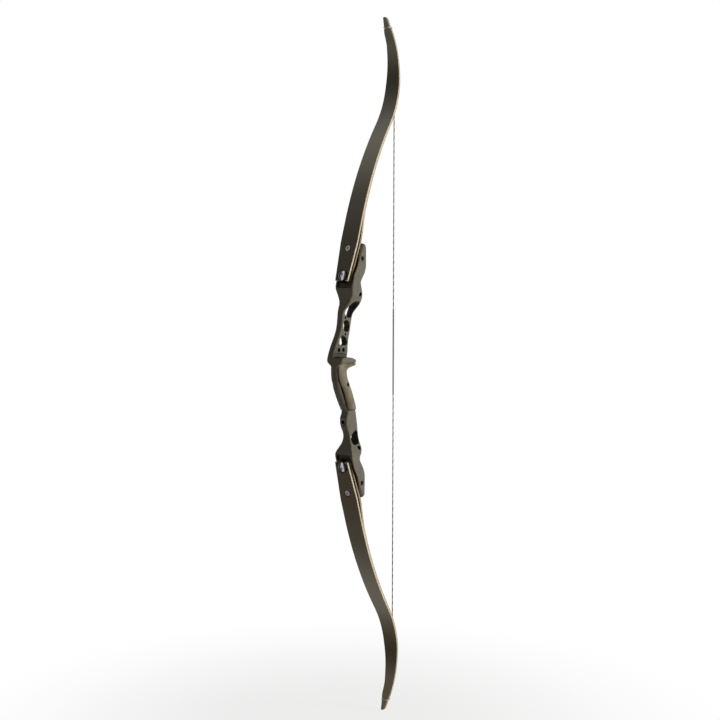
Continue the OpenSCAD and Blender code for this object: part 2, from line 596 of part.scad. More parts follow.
// Openings through the riser, in the side view
upper_slot = rounded(fitted_corners([[9, 116, 2], [7, 125, 4], [15, 138, 6], [24, 142.5, 3], [36.5, 141, 4],
    [38.4, 134, 4], [34, 121, 8], [28.5, 109, 3], [19, 108.6, 4]]));
window_one = rounded([[4, 85, 3], [4.4, 98, 4], [9, 103.6, 4], [20, 103, 3], [23.8, 92, 6],
    [20, 80.4, 3], [11, 80.4, 3]]);
window_two = rounded([[0.5, 73.4, 2], [6, 72, 3], [14, 67, 3], [16.5, 55, 3], [12, 53, 3],
    [-5, 53, 3], [-8.2, 57, 3], [-7, 65, 5]]);
lower_window = rounded(fitted_corners([[27, -119.5, 2], [16, -128, 4], [10.8, -133, 3], [11.5, -146, 3],
    [17, -150, 4], [32.2, -147.5, 3], [34.2, -136, 6], [33.2, -125, 4]]));
accessory_y = 27.5;
accessory_z = stretch(156);
sight_y = 11;
plunger_y = 4.3;

// Arrow shelf: everything above this line is open on the window side
shelf_front_y = -32;
function crown(y) = shelf_z - (y + 16) * (y + 16) / 2 / shelf_crown;
shelf_top = [for (y = [shelf_front_y - 6:4:2]) [y, crown(y)]];
shelf_cut = concat([[-60, shelf_z - 8]], shelf_top, [[10, 25.6], [20, 23.8], [40, 21], [40, 56], [-60, 56]]);
// Milled line on the wall above the shelf
line_up = 5.4;
line_h = 2;
line_deep = 1.2;
line_y = [for (y = [-27:4:13]) y];
shelf_line = concat([for (y = line_y) [y, crown(y) + line_up]],
    [for (i = [len(line_y) - 1:-1:0]) [line_y[i], crown(line_y[i]) + line_up + line_h]]);

// Where the wood sits beside and behind the tang
// Groove left open between the wood's edge and the metal
seam_gap = 0.5;
grip_foot_z = -78.3;
seam_z = 18.2;
grip_zone = [[-30.5, 8.5], [-30, -6], [-28.6, -16], [-23, -28], [-17, -40], [-11, -54], [-5, -67],
    [1, grip_foot_z], [60, grip_foot_z], [60, seam_z], [-10, seam_z], [-21, 17.6], [-26.5, 15], [-29.8, 11.5]];
tang_rear = smooth([[24.4, grip_foot_z], [18.4, -58], [11.5, -41], [3.7, -24], [-1.5, -14], [-5.5, -5],
    [-5.5, seam_z]], 3);
behind_tang = concat([[60, grip_foot_z]], tang_rear, [[60, seam_z]]);

module pocket_pad() pocket_axes() translate([-riser_hw, pad_n, rocker_s - pad_half])
    cube([riser_w, floor_n - pad_n + 1, 2 * pad_half]);
module pocket_cuts() {
    intersection() {
        front_plate([[-limb_w / 2 - cheek_gap - 8, shoulder_z + 16], [-limb_w / 2 - cheek_gap, shoulder_z - 2],
            [-butt_end_w / 2 - cheek_gap, butt_z - 22], [butt_end_w / 2 + cheek_gap, butt_z - 22],
            [limb_w / 2 + cheek_gap, shoulder_z - 2], [limb_w / 2 + cheek_gap + 8, shoulder_z + 16]], -60, 80);
        pocket_axes() translate([-30, -60, -pocket_end_gap])
            cube([60, 60 + floor_n, pocket_end_gap + rocker_s - pad_half]);
    }
    pocket_axes() {
        deep(bolt_s, 0, barrel_end_n, barrel_d / 2 + press_gap);
        deep(bolt_s, 0, 60, bolt_d / 2 + thread_gap);
        translate([0, 0, channel_s]) linear_extrude(60) polygon([
            [-dovetail_hw(butt_t) - 0.4, 0], [dovetail_hw(butt_t) + 0.4, 0],
            [dovetail_hw(butt_t) + 0.4, butt_t], [dovetail_hw(channel_n) + 0.4, channel_n],
            [-dovetail_hw(channel_n) - 0.4, channel_n], [-dovetail_hw(butt_t) - 0.4, butt_t]]);
        deep(detent_s, channel_n - 1, dimple_n, dimple_r);
        both_sides() translate([0, floor_n, 36]) rotate([-8.5, 0, 0]) linear_extrude(80)
            polygon([[riser_hw - 6, -6.9], [riser_hw + 1, 0.7], [40, 0.7], [40, -30], [riser_hw - 6, -30]]);
    }
    crosswise(dowel_at[0], dowel_at[1], -40, 40, dowel_d / 2 + press_gap);
    crosswise(accessory_y, accessory_z, -40, 40, accessory_d / 2);
}
grip_screw_y = -3;
grip_screw_z = -25;
module riser() color("#4a4538") difference() {
    union() {
        loft([for (z = heights) slice(z)]);
        pocket_pad();
        mirror([0, 0, 1]) pocket_pad();
    }
    pocket_cuts();
    mirror([0, 0, 1]) pocket_cuts();
    side_plate(upper_slot, -40, 40);
    side_plate(window_one, -40, 40);
    side_plate(window_two, -40, 40);
    side_plate(lower_window, -40, 40);
    side_plate(shelf_cut, -past_centre, 40);
    side_plate(shelf_line, -past_centre - line_deep, 40);
    side_plate(behind_tang, -40, 40);
    both_sides() side_plate(grip_zone, tang_hw, 40);
    for (k = [-1, 1]) crosswise(sight_y, sight_z + k * sight_pitch / 2, -40, 20, sight_d / 2);
    for (k = [0, 1]) crosswise(plunger_y - k * plunger_pitch, plunger_z, -40, 20, accessory_d / 2);
    translate([0, boss_y - 1, -stabilizer_z]) rotate([-90, 0, 0])
        cylinder(h = stabilizer_len + 1, r = bushing_d / 2 + press_gap);
    both_sides() crosswise(grip_screw_y, grip_screw_z, 0.8, 20, grip_screw_d / 2 + press_gap);
}

module stabilizer_bushing() color("#c9c9c6") translate([0, boss_y - 0.5, -stabilizer_z]) rotate([-90, 0, 0])
    difference() {
        cylinder(h = stabilizer_len, r = bushing_d / 2);
        translate([0, 0, -1]) cylinder(h = stabilizer_len + 2, r = accessory_d / 2);
    }

// The wooden grip: level sections from the foot to the tail, as [Y of the back, Z, half width]
function swell(z) = grip_w / 2 - 2.6 + 2.6 * sin(max(0, min(180, (4 - z) * 2.3)));
grip_back = [[31.8, -79], [30.4, -73], [27.4, -65], [23, -57], [19, -49], [14.8, -40], [10.3, -32], [6.2, -23],
    [2.3, -14.5], [0.2, -6.5], [0, 0]];
tail_back = [[0.5, 2.4, 11], [1.3, 4.3, 11.6], [3.1, 6.3, 12.3], [6.2, 8.3, 13.4], [10.8, 10.3, 15.2],
    [17.6, 12.2, 18.2], [19.7, 14, 19.6], [19.9, 16.5, 19.8], [19.9, seam_z + 1, 19.8]];
grip_sections = concat(smooth([for (p = grip_back) [p[0], p[1], swell(p[1])]], 2), tail_back);
section_depth = 10;
front_hw = [[-36, 14], [-24, 11]];
neck_y = -22;
section_front_y = -36;
arc_steps = 12;
function section(p) = let (w = min(p[2], lookup(p[1], front_hw)))
    concat([[w, section_front_y, p[1]], [w, neck_y + max(0, p[0] - 4), p[1]]],
        [for (k = [0:arc_steps]) let (a = 180 * k / arc_steps)
            [p[2] * sign(cos(a)) * pow(abs(cos(a)), 0.8),
                p[0] - section_depth + section_depth * pow(sin(a), 0.8), p[1]]],
        [[-w, neck_y + max(0, p[0] - 4), p[1]], [-w, section_front_y, p[1]]]);
module wooden_grip() color("#8a5a34") difference() {
    intersection() {
        loft([for (p = grip_sections) section(p)]);
        across(-30, 30) offset(delta = -seam_gap) polygon(grip_zone);
    }
    side_plate(concat([[-60, 40], [-60, -90], [24.6, -90]], [for (p = tang_rear) [p[0] + 0.15, p[1]]],
        [[-5.3, 40]]), -tang_hw - seat_gap, tang_hw + seat_gap);
    both_sides() crosswise(grip_screw_y, grip_screw_z, 0, 30, grip_screw_d / 2 + 0.2);
    both_sides() crosswise(grip_screw_y, grip_screw_z, 9.2, 30, grip_head_d / 2 + 0.2);
}
module grip_screws() color("#2e2c29") both_sides() difference() {
    union() {
        crosswise(grip_screw_y, grip_screw_z, 1, 10, grip_screw_d / 2);
        crosswise(grip_screw_y, grip_screw_z, 9.2 + seat_gap, 11.9, grip_head_d / 2);
    }
    translate([10.4, grip_screw_y, grip_screw_z]) rotate([0, 90, 0])
        cylinder(h = 3, r = 2.5 / sqrt(3), $fn = 6);
}

module upper_back_glass() color("#2b2925") back_glass();
module lower_back_glass() color("#2b2925") mirror([0, 0, 1]) back_glass();
module upper_front_core() color("#dcc9a0") front_core();
module lower_front_core() color("#dcc9a0") mirror([0, 0, 1]) front_core();
module upper_butt_wedge() color("#3a2a1c") butt_wedge();
module lower_butt_wedge() color("#3a2a1c") mirror([0, 0, 1]) butt_wedge();
module upper_rear_core() color("#9a6a3c") rear_core();
module lower_rear_core() color("#9a6a3c") mirror([0, 0, 1]) rear_core();
module upper_belly_glass() color("#3a3833") belly_glass();
module lower_belly_glass() color("#3a3833") mirror([0, 0, 1]) belly_glass();
module upper_tip_overlay() color("#26241f") tip_overlay();
module lower_tip_overlay() color("#26241f") mirror([0, 0, 1]) tip_overlay();
module upper_dovetail_fitting() color("#a9a9a6") dovetail_fitting();
module lower_dovetail_fitting() color("#a9a9a6") mirror([0, 0, 1]) dovetail_fitting();
module upper_fitting_screw() color("#3c3a36") fitting_screw();
module lower_fitting_screw() color("#3c3a36") mirror([0, 0, 1]) fitting_screw();
module upper_detent_pin() color("#c9c9c6") detent_pin();
module lower_detent_pin() color("#c9c9c6") mirror([0, 0, 1]) detent_pin();
module upper_detent_spring() color("#c9c9c6") detent_spring();
module lower_detent_spring() color("#c9c9c6") mirror([0, 0, 1]) detent_spring();
module upper_limb_bolt() color("#c9c9c6") limb_bolt();
module lower_limb_bolt() color("#c9c9c6") mirror([0, 0, 1]) limb_bolt();
module upper_bolt_washer() color("#55534e") bolt_washer();
module lower_bolt_washer() color("#55534e") mirror([0, 0, 1]) bolt_washer();
module upper_bolt_barrel() color("#b9b9b6") bolt_barrel();
module lower_bolt_barrel() color("#b9b9b6") mirror([0, 0, 1]) bolt_barrel();
module upper_lock_screw() color("#2e2c29") lock_screw();
module lower_lock_screw() color("#2e2c29") mirror([0, 0, 1]) lock_screw();
module upper_alignment_dowel() color("#b9b9b6") alignment_dowel();
module lower_alignment_dowel() color("#b9b9b6") mirror([0, 0, 1]) alignment_dowel();
module upper_alignment_screws() color("#2e2c29") alignment_screws();
module lower_alignment_screws() color("#2e2c29") mirror([0, 0, 1]) alignment_screws();
module upper_string_loop() color("#e4e2da") string_loop();
module lower_string_loop() color("#e4e2da") mirror([0, 0, 1]) string_loop();

riser();
wooden_grip();
grip_screws();
stabilizer_bushing();
bowstring();
centre_serving();
upper_back_glass();
upper_front_core();
upper_butt_wedge();
upper_rear_core();
upper_belly_glass();
upper_tip_overlay();
upper_dovetail_fitting();
upper_fitting_screw();
upper_detent_pin();
upper_detent_spring();
upper_limb_bolt();
upper_bolt_washer();
upper_bolt_barrel();
upper_lock_screw();
upper_alignment_dowel();
upper_alignment_screws();
upper_string_loop();
lower_back_glass();
lower_front_core();
lower_butt_wedge();
lower_rear_core();
lower_belly_glass();
lower_tip_overlay();
lower_dovetail_fitting();
lower_fitting_screw();
lower_detent_pin();
lower_detent_spring();
lower_limb_bolt();
lower_bolt_washer();
lower_bolt_barrel();
lower_lock_screw();
lower_alignment_dowel();
lower_alignment_screws();
lower_string_loop();
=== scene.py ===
import json
import math

import bpy
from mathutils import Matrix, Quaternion, Vector


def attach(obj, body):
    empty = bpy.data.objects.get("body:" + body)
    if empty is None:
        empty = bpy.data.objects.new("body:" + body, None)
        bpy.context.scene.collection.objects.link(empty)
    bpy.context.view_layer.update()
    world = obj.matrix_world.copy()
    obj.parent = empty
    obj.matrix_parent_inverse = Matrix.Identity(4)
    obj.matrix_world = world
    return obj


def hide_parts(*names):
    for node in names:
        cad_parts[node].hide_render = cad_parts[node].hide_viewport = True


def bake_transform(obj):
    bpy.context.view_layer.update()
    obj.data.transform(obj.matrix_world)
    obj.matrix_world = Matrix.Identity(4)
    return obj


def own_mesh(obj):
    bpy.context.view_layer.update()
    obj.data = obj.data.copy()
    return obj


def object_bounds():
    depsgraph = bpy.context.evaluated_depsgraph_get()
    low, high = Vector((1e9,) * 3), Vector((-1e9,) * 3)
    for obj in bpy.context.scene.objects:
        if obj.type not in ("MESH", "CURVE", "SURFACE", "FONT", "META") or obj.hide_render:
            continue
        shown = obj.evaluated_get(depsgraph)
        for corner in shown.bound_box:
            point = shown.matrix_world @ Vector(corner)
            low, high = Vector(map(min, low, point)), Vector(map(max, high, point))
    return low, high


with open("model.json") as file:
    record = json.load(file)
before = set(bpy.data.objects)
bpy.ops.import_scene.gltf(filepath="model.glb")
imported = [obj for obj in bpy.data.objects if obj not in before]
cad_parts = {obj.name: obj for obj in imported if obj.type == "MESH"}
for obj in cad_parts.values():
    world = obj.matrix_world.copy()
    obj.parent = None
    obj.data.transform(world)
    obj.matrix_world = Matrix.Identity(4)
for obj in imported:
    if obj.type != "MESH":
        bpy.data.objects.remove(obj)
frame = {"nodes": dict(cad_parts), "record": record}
CAD_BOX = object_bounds()
NODES = frame["nodes"]
SCENE = bpy.context.scene
MM = 0.001
SIDES = (("upper", 1.0), ("lower", -1.0))
X, Y, Z = 0, 1, 2


# Route of the upper limb, in mm and degrees, as the solids have it: a straight butt, a gentle bend,
# the recurve and a straight tip. The lower limb mirrors it.
BUTT_Y, BUTT_Z, BUTT_TILT, BUTT_LEN = -10.4, 184.0, 17.6, 132.6
WORKING_R, SWEEP = 776.0, 34.2
RECURVE_R, TIP_TILT, TIP_LEN = 198.4, 21.8, 36.3
LIMB_T, OVERLAY_T = 4.0, 3.4
BOLT_S, FITTING_S = 10.5, 68.5
BOLT_DISH_R, FITTING_DISH_R = 13.7, 8.3
JUNCTION_TURN = 18.4
NOCK_BELOW_END, NOCK_X, NOCK_R, NOCK_INSET = 20.0, 6.6, 2.0, 0.3
STRING_OFF = 0.7


def sn(a):
    return math.sin(math.radians(a))


def cs(a):
    return math.cos(math.radians(a))


S_BEND = BUTT_LEN
S_RECURVE = S_BEND + math.radians(WORKING_R * (SWEEP - BUTT_TILT))
S_MID = S_RECURVE + math.radians(RECURVE_R * SWEEP)
S_TIP = S_RECURVE + math.radians(RECURVE_R * (SWEEP + TIP_TILT))
JUNCTION_S = S_RECURVE + math.radians(RECURVE_R * (SWEEP + JUNCTION_TURN))
NOCK_S = S_TIP + TIP_LEN - NOCK_BELOW_END / cs(TIP_TILT)
P_BEND = (BUTT_Y + BUTT_LEN * sn(BUTT_TILT), BUTT_Z + BUTT_LEN * cs(BUTT_TILT))
P_RECURVE = (P_BEND[0] + WORKING_R * (cs(BUTT_TILT) - cs(SWEEP)),
             P_BEND[1] + WORKING_R * (sn(SWEEP) - sn(BUTT_TILT)))
P_TIP = (P_RECURVE[0] + RECURVE_R * (cs(TIP_TILT) - cs(SWEEP)),
         P_RECURVE[1] + RECURVE_R * (sn(SWEEP) + sn(TIP_TILT)))


def limb_at(s, n):
    """(Y, Z) in mm of the point n behind the limb's front face, s along it from the butt's end."""
    if s < S_BEND:
        a, y, z = BUTT_TILT, BUTT_Y + s * sn(BUTT_TILT), BUTT_Z + s * cs(BUTT_TILT)
    elif s < S_RECURVE:
        a = BUTT_TILT + math.degrees((s - S_BEND) / WORKING_R)
        y = P_BEND[0] + WORKING_R * (cs(BUTT_TILT) - cs(a))
        z = P_BEND[1] + WORKING_R * (sn(a) - sn(BUTT_TILT))
    elif s < S_TIP:
        a = SWEEP - math.degrees((s - S_RECURVE) / RECURVE_R)
        y = P_RECURVE[0] + RECURVE_R * (cs(a) - cs(SWEEP))
        z = P_RECURVE[1] + RECURVE_R * (sn(SWEEP) - sn(a))
    else:
        a = -TIP_TILT
        y = P_TIP[0] - (s - S_TIP) * sn(TIP_TILT)
        z = P_TIP[1] + (s - S_TIP) * cs(TIP_TILT)
    return y + n * cs(a), z - n * sn(a)


# Materials
def add_node(tree, kind, values=None, links=None, **settings):
    """A node with its settings, the values of its sockets and the outputs linked to them."""
    n = tree.nodes.new(kind)
    for key, value in settings.items():
        setattr(n, key, value)
    for socket, value in (values or {}).items():
        n.inputs[socket].default_value = value
    for socket, output in (links or {}).items():
        tree.links.new(output, n.inputs[socket])
    return n


def scaled(colour, share):
    return tuple(c * share for c in colour)


class Shader:
    """A node material whose texture coordinates are the frame's metres."""

    def __init__(self, name, roughness=0.5, metallic=0.0, coat=0.0, coat_roughness=0.1,
                 specular=0.5):
        self.mat = bpy.data.materials.new(name)
        self.mat.use_nodes = True
        self.tree = self.mat.node_tree
        self.bsdf = self.tree.nodes["Principled BSDF"]
        self.put("Roughness", roughness)
        self.put("Metallic", metallic)
        self.put("Coat Weight", coat)
        self.put("Coat Roughness", coat_roughness)
        self.put("Specular IOR Level", specular)
        self.coord = self.node("ShaderNodeTexCoord").outputs["Object"]

    def put(self, socket, value):
        self.bsdf.inputs[socket].default_value = value

    def drive(self, socket, output):
        self.tree.links.new(output, self.bsdf.inputs[socket])

    def node(self, kind, values=None, links=None, **settings):
        return add_node(self.tree, kind, values, links, **settings)

    def noise(self, scale=(1, 1, 1), size=1.0, detail=4.0, rough=0.55, distort=0.0):
        """Noise of a size, stretched by the three scales."""
        mapped = self.node("ShaderNodeMapping", {"Scale": scale}, {"Vector": self.coord})
        return self.node(
            "ShaderNodeTexNoise",
            {"Scale": size, "Detail": detail, "Roughness": rough, "Distortion": distort},
            {"Vector": mapped.outputs["Vector"]}).outputs["Fac"]

    def ramp(self, fac, stops, smooth="LINEAR"):
        """Colours at stops along fac."""
        n = self.node("ShaderNodeValToRGB", links={"Fac": fac})
        n.color_ramp.interpolation = smooth
        elements = n.color_ramp.elements
        while len(elements) < len(stops):
            elements.new(0.5)
        for element, (at, colour) in zip(elements, stops):
            element.position = at
            element.color = (*colour, 1.0)
        return n.outputs["Color"]

    def spread(self, fac, low, high, to_low=0.0, to_high=1.0):
        """fac between low and high, spread over another range and held at its ends."""
        ends = {"From Min": low, "From Max": high, "To Min": to_low, "To Max": to_high}
        return self.node("ShaderNodeMapRange", ends, {"Value": fac}).outputs["Result"]

    def mix(self, fac, a, b):
        """a where fac is 0 and b where it is 1, each a colour or an output."""
        n = self.node("ShaderNodeMix", data_type="RGBA")
        inlets = {inlet.identifier: inlet for inlet in n.inputs}
        self.tree.links.new(fac, inlets["Factor_Float"])
        for inlet, colour in ((inlets["A_Color"], a), (inlets["B_Color"], b)):
            if isinstance(colour, tuple):
                inlet.default_value = (*colour, 1.0)
            else:
                self.tree.links.new(colour, inlet)
        return next(s for s in n.outputs if s.identifier == "Result_Color")

    def value(self, operation, *terms):
        """The result of a Math node on numbers and outputs."""
        n = self.node("ShaderNodeMath", operation=operation)
        for inlet, term in zip(n.inputs, terms):
            if isinstance(term, (int, float)):
                inlet.default_value = term
            else:
                self.tree.links.new(term, inlet)
        return n.outputs[0]

    def parts(self, vector):
        return self.node("ShaderNodeSeparateXYZ", links={0: vector}).outputs

    def place(self, axis):
        """X, Y or Z in metres."""
        return self.parts(self.coord)[axis]

    def height(self):
        """Distance above or below the grip's throat, in metres."""
        return self.value("ABSOLUTE", self.place(Z))

    def facing(self, axis, low, high):
        """0 to 1 as the surface turns from low towards high along the axis."""
        normal = self.node("ShaderNodeNewGeometry").outputs["Normal"]
        return self.spread(self.parts(normal)[axis], low, high)

    def hollow(self, distance_mm, low, high):
        """0 deep in a corner, 1 in the open."""
        n = self.node("ShaderNodeAmbientOcclusion", {"Distance": distance_mm * MM}, samples=8)
        return self.spread(n.outputs["AO"], low, high)

    def near_axis(self, s_mm, radius_mm, soft_mm=0.5):
        """1 within a radius of the axis across the limb's butt at s, 0 outside, on both limbs."""
        y0, z0 = (v * MM for v in limb_at(s_mm, 0))
        x = self.place(X)
        along = self.value(
            "ADD",
            self.value("MULTIPLY", self.value("SUBTRACT", self.place(Y), y0), sn(BUTT_TILT)),
            self.value("MULTIPLY", self.value("SUBTRACT", self.height(), z0), cs(BUTT_TILT)))
        away = self.value("SQRT", self.value("ADD", self.value("MULTIPLY", x, x),
                                             self.value("MULTIPLY", along, along)))
        return self.spread(away, (radius_mm - soft_mm) * MM, radius_mm * MM, 1.0, 0.0)

    def dishes(self):
        """1 in the dishes for the bolt and the fitting screw."""
        return self.value("MAXIMUM", self.near_axis(BOLT_S, BOLT_DISH_R),
                          self.near_axis(FITTING_S, FITTING_DISH_R))

    def dishes_with_painted_highlight(self, shade):
        """Colours the surface, with a painted highlight on the walls of the dishes that face +X: a
        pale colour, made metallic there.
        """
        wall = self.value("MULTIPLY", self.dishes(), self.facing(X, 0.2, 0.6))
        self.colour(self.mix(wall, shade, DISH_WALL_HIGHLIGHT))
        self.drive("Metallic", wall)

    def colour(self, output):
        self.drive("Base Color", output)

    def rough(self, fac, low, high):
        """Roughness from low to high over the middle of a noise."""
        self.drive("Roughness", self.spread(fac, 0.3, 0.7, low, high))

    def bump(self, height, strength, distance):
        n = self.node("ShaderNodeBump", {"Strength": strength, "Distance": distance},
                      {"Height": height})
        self.drive("Normal", n.outputs["Normal"])


# Painted shade inside the dishes, and a painted highlight on their walls that face +X
DISH_PAINTED_SHADE, DISH_WALL_HIGHLIGHT = (0.006, 0.005, 0.004), (0.62, 0.60, 0.52)

# Specular level of the glass at heights in metres: full along the middle of the limb, dull at the
# butt and where the recurve starts
GLASS_SHEEN = [(0.26, 0.25), (0.34, 0.38), (0.47, 1.0), (0.61, 0.22), (0.68, 0.65), (0.73, 0.70)]
GLASS_TINT = (1.0, 0.94, 0.72, 1.0)
GLASS_LOWER, GLASS_UPPER = (0.090, 0.058, 0.024), (0.050, 0.046, 0.026)
GLASS_STREAK = (0.012, 0.010, 0.007)
# Painted reflection on the sides of the glass that face +X: near-black at the butt, brown along the
# middle, darker at the tip
EDGE_REFLECTION_BUTT, EDGE_REFLECTION_MIDDLE, EDGE_REFLECTION_TIP = (0.010, 0.007, 0.004), (0.30, 0.19, 0.09), (0.12, 0.062, 0.026)

# Heights in metres between which the painted reflection on the sides of the glass and the brown
# core change colour
BUTT_EDGE_ENDS, TIP_EDGE_STARTS, CORE_PALES = (0.25, 0.30), (0.665, 0.675), (0.235, 0.285)

# Radians a metre of a wave texture at scale 1
WAVE_RATE = 20

# The grip's front edge has painted shade in the seam beside the metal, then is brown: places in
# metres across its lean
GRIP_LEAN = 0.52
GRIP_SEAM_SHADE_ENDS, GRIP_BROWN_ENDS = (-0.0368, -0.0338), (-0.0315, -0.0185)


def riser_metal():
    """Anodised metal with a fine grain, with painted shade, near-black, in corners, hollows and
    under ledges and on faces that point up.
    """
    s = Shader("riser_anodised", specular=0.06)
    broad = s.noise(size=28.0, detail=3.0)
    fine = s.noise(size=1900.0, detail=2.0)
    base = s.ramp(broad, [(0.3, (0.190, 0.175, 0.136)), (0.7, (0.240, 0.222, 0.175))])
    grain = s.mix(s.spread(fine, 0.35, 0.65, 0.0, 0.25), base, (0.30, 0.28, 0.235))
    # Painted shade: near-black where occlusion finds a corner or hollow, and on faces that point up
    clear_of_painted_shade = s.value("MULTIPLY", s.hollow(32.0, 0.42, 0.93), s.facing(Z, 0.95, 0.55))
    s.colour(s.mix(clear_of_painted_shade, (0.010, 0.008, 0.005), grain))
    s.rough(fine, 0.42, 0.56)
    s.bump(fine, strength=0.12, distance=0.00015)
    return s.mat


def limb_glass():
    """Dark glass laminate with streaks along the limb, and a painted reflection on its sides that
    face +X.
    """
    s = Shader("limb_glass")
    s.put("Specular Tint", GLASS_TINT)
    along = s.noise(scale=(260.0, 260.0, 5.0), size=4.0, detail=3.0)
    stops = [(at, (level,) * 3) for at, level in GLASS_SHEEN]
    s.drive("Specular IOR Level", s.ramp(s.height(), stops, "EASE"))
    tone = s.mix(s.spread(s.place(Z), -0.1, 0.1), GLASS_LOWER, GLASS_UPPER)
    grain = s.mix(s.spread(along, 0.3, 0.7, 0.0, 0.35), tone, GLASS_STREAK)
    edge = s.mix(s.spread(s.height(), *BUTT_EDGE_ENDS), EDGE_REFLECTION_BUTT, EDGE_REFLECTION_MIDDLE)
    edge = s.mix(s.spread(s.height(), *TIP_EDGE_STARTS), edge, EDGE_REFLECTION_TIP)
    # The faces that point +X take the painted reflection
    s.dishes_with_painted_highlight(s.mix(s.facing(X, 0.6, 0.8), grain, edge))
    s.rough(along, 0.26, 0.38)
    s.bump(along, strength=0.06, distance=0.0001)
    return s.mat


def wood(name, dark, light, grain=(1500.0, 1500.0, 20.0), coat=0.4, specular=0.3,
         rough=(0.32, 0.5), figure=6.0, dished=True, pale=None, front_edge=None):
    """Wood with fibres along Z. pale is its colour beyond the butt, front_edge two at the front: a
    brown, and painted shade in the seam beside the metal.
    """
    s = Shader(name, coat=coat, coat_roughness=0.15, specular=specular)
    fibres = s.noise(scale=grain, detail=5.0, rough=0.6)
    bands = s.noise(scale=(grain[0] * 0.12, grain[1] * 0.12, grain[2] * 0.3), detail=2.0,
                    distort=figure)
    base = s.ramp(bands, [(0.32, dark), (0.68, light)])
    if front_edge:
        across = s.value("ADD", s.place(Y), s.value("MULTIPLY", s.place(Z), GRIP_LEAN))
        for colour, ends in zip(front_edge, (GRIP_BROWN_ENDS, GRIP_SEAM_SHADE_ENDS)):
            base = s.mix(s.spread(across, *ends), colour, base)
    shade = s.mix(s.spread(fibres, 0.5, 0.78, 0.0, 0.75), base, scaled(dark, 0.55))
    if pale:
        shade = s.mix(s.spread(s.height(), *CORE_PALES), shade, pale)
    if dished:
        # Inside the dishes the core gets painted shade, near-black
        s.dishes_with_painted_highlight(s.mix(s.dishes(), shade, DISH_PAINTED_SHADE))
    else:
        s.colour(shade)
    s.rough(fibres, *rough)
    s.bump(fibres, strength=0.12, distance=0.0001)
    return s.mat


def steel(name, colour, rough=(0.18, 0.32), metallic=1.0, specular=0.5, lit=()):
    """Steel with fine marks. The turns (axis, low, high) given get painted light between them, and
    painted shade, near-black, elsewhere.
    """
    s = Shader(name, metallic=metallic, specular=specular)
    marks = s.noise(scale=(300.0, 300.0, 300.0), size=3.0, detail=3.0)
    shade = s.ramp(marks, [(0.3, scaled(colour, 0.8)), (0.7, colour)])
    if lit:
        painted_light = s.facing(*lit[0])
        for turn in lit[1:]:
            painted_light = s.value("MULTIPLY", painted_light, s.facing(*turn))
        # Painted shade outside the turns with painted light
        shade = s.mix(painted_light, scaled(colour, 0.06), shade)
    s.colour(shade)
    s.rough(marks, *rough)
    s.bump(marks, strength=0.04, distance=0.0001)
    return s.mat


def thread(name, dark, light, period, axis="Z", specular=0.5):
    """Thread whose turns are a period apart, in metres."""
    s = Shader(name, roughness=0.6, specular=specular)
    wave_scale = 2 * math.pi / (WAVE_RATE * period)
    turns = s.node("ShaderNodeTexWave",
                   {"Scale": wave_scale, "Distortion": 0.6, "Detail": 1.0}, {"Vector": s.coord},
                   wave_type="BANDS", bands_direction=axis, wave_profile="SIN").outputs["Fac"]
    fuzz = s.noise(size=2500.0, detail=2.0)
    base = s.ramp(turns, [(0.15, dark), (0.7, light)])
    s.colour(s.mix(s.spread(fuzz, 0.35, 0.7, 0.0, 0.35), base, dark))
    s.bump(turns, strength=0.6, distance=0.0002)
    return s.mat


MATERIALS = {
    "riser_anodised": riser_metal(),
    "grip_wood": wood("grip_wood", (0.225, 0.190, 0.120), (0.370, 0.342, 0.240),
                      grain=(700.0, 500.0, 55.0), coat=0.06, specular=0.2, rough=(0.38, 0.55),
                      figure=1.6, dished=False,
                      # At the front: a brown, then painted shade in the seam beside the riser
                      front_edge=((0.130, 0.075, 0.030), (0.012, 0.007, 0.003))),
    "dark_steel": steel("dark_steel", (0.012, 0.011, 0.010), rough=(0.40, 0.5), metallic=0.0,
                        specular=0.1),
    # Painted light on the faces that point up, painted shade on the others
    "bright_steel": steel("bright_steel", (0.60, 0.60, 0.58), lit=((Z, 0.1, 0.7),)),
    # A painted highlight on the bolt heads in a band of turns towards +X, with painted shade on
    # either side of it
    "bolt_chrome": steel("bolt_chrome", (0.52, 0.53, 0.55), rough=(0.16, 0.24),
                         lit=((X, 0.0, 0.20), (X, 0.52, 0.34))),
    "screw_steel": steel("screw_steel", (0.24, 0.235, 0.22), rough=(0.22, 0.34)),
    "limb_glass": limb_glass(),
    "pale_core": wood("pale_core", (0.84, 0.70, 0.48), (0.96, 0.84, 0.63)),
    "brown_core": wood("brown_core", (0.34, 0.190, 0.066), (0.50, 0.310, 0.130),
                       pale=(0.82, 0.60, 0.36)),
    "dark_wedge": wood("dark_wedge", (0.010, 0.007, 0.004), (0.030, 0.019, 0.009), coat=0.0,
                       specular=0.1),
    "string_strands": thread("string_strands", (0.84, 0.77, 0.60), (0.95, 0.90, 0.76), 0.0011,
                             specular=0.2),
    "string_dark": thread("string_dark", (0.024, 0.016, 0.008), (0.066, 0.048, 0.026), 0.0011,
                          specular=0.05),
    "serving_dark": thread("serving_dark", (0.20, 0.19, 0.16), (0.42, 0.40, 0.355), 0.0006),
    "serving_white": thread("serving_white", (0.42, 0.41, 0.38), (0.74, 0.73, 0.70), 0.0007,
                            axis="DIAGONAL"),
}
for sub in frame["record"]["subparts"]:
    o = NODES[sub["node"]]
    o.data.materials.clear()
    o.data.materials.append(MATERIALS[sub["material_slot"]])
for side, _ in SIDES:
    NODES[f"{side}_fitting_screw"].data.materials[0] = MATERIALS["screw_steel"]


# Softened edges of the carried-over nodes
WELD_DISTANCE = 0.00001
EDGE_ANGLE = math.radians(28.0)
SMALL_BEVEL = 0.0003


def modifier(o, kind, name, **settings):
    m = o.modifiers.new(name, kind)
    for key, value in settings.items():
        setattr(m, key, value)


